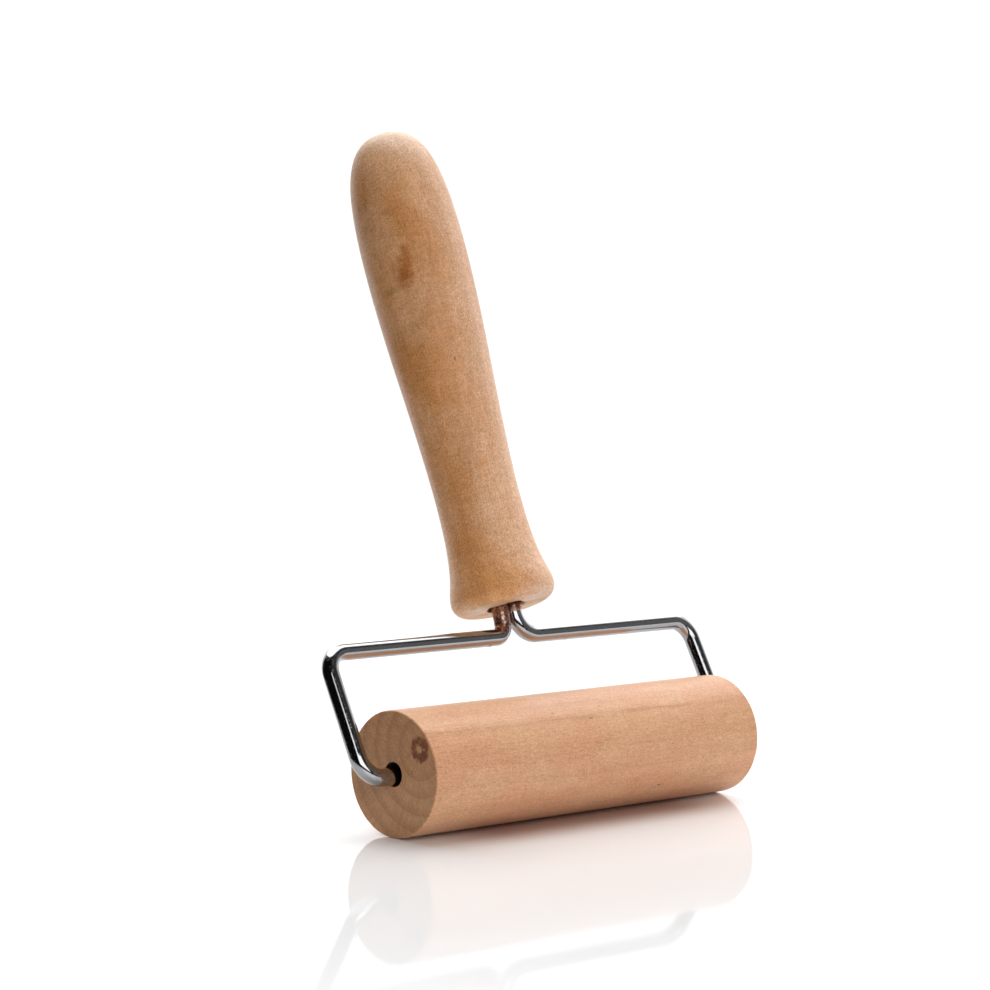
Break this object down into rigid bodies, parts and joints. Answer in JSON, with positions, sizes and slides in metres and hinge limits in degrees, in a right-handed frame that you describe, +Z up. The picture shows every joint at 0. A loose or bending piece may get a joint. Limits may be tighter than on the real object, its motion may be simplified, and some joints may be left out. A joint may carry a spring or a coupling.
{
  "type": "brayer",
  "caption": "Hand roller with a wooden cylinder that spins on a bent wire yoke, held by a turned wooden handle, for pressing and rolling sheet work flat.",
  "frame": {"origin": "on the table, where the roller touches it, below the middle of the roller's length", "axes": "+X along the roller and its axle, +Z up, +Y towards the side that the handle leans to"},
  "size_m": [0.1382, 0.0966, 0.1774],
  "materials": {
    "roller_wood": "plain sanded light wood, unvarnished, fine grain along the roller, end grain at both ends",
    "plated_wire": "bright plated steel wire with a few tiny pits",
    "handle_wood": "turned wood with a thin clear satin coat, straight grain along the handle"
  },
  "bodies": {
    "frame": {"handle": "handle_wood", "yoke_wire": "plated_wire"},
    "roller": {"roller": "roller_wood"}
  },
  "joints": [
    {"name": "roller_spin", "type": "hinge", "parent": "frame", "child": "roller", "pos_m": [0, 0, 0.016], "axis": [1, 0, 0], "continuous": true}
  ]
}
